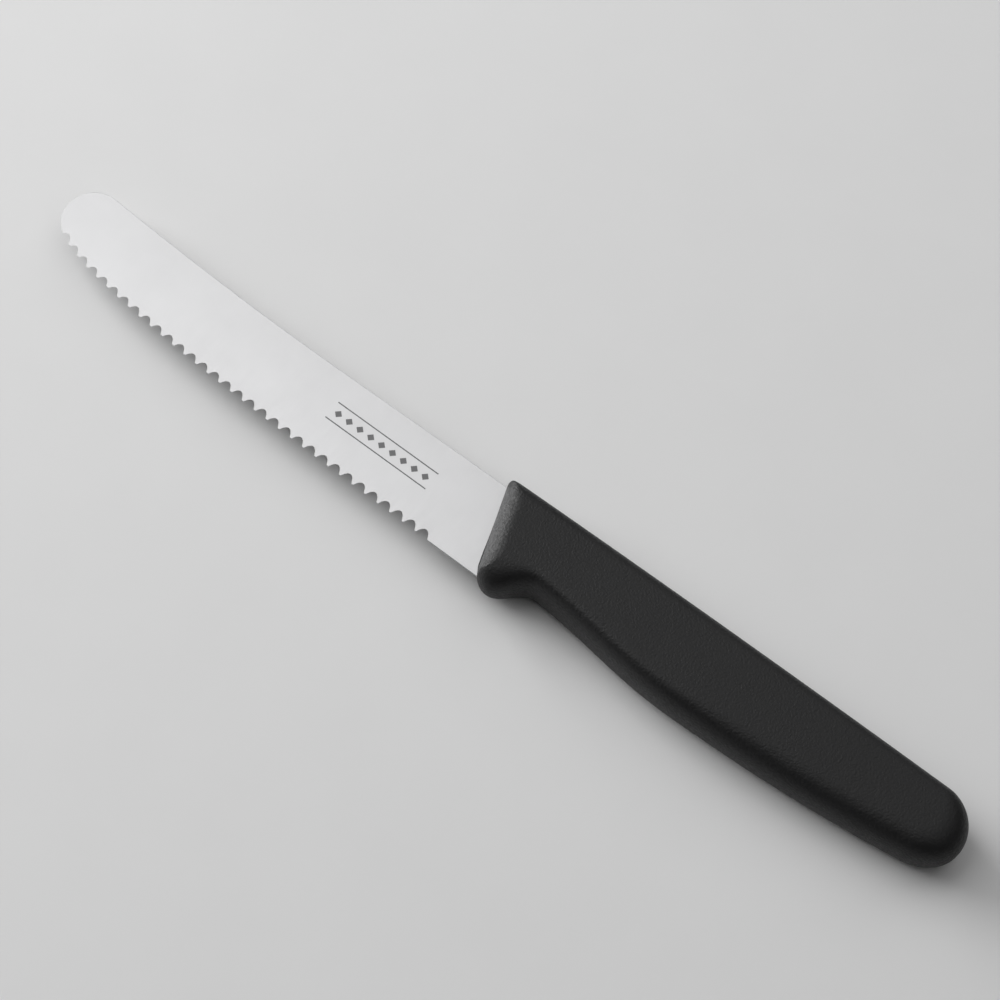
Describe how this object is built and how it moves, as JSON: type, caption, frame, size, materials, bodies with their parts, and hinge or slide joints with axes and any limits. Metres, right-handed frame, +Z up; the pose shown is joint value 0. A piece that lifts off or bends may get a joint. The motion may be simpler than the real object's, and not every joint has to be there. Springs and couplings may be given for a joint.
{
  "type": "slicing knife",
  "caption": "Small slicing knife with a round-tipped steel blade, a scalloped edge and a moulded plastic handle with a finger guard, lying on its side.",
  "frame": {"origin": "under the middle of the knife's bounding box, on the surface that the knife lies on", "axes": "+X from the blade's tip to the handle's butt, +Y from the cutting edge to the spine, +Z up from the surface"},
  "size_m": [0.2088, 0.0206, 0.0112],
  "materials": {
    "steel": "satin stainless steel, finely ground",
    "plastic": "matte black moulded plastic with a fine grain"
  },
  "bodies": {
    "root": {"blade": "steel", "handle": "plastic"}
  },
  "joints": []
}
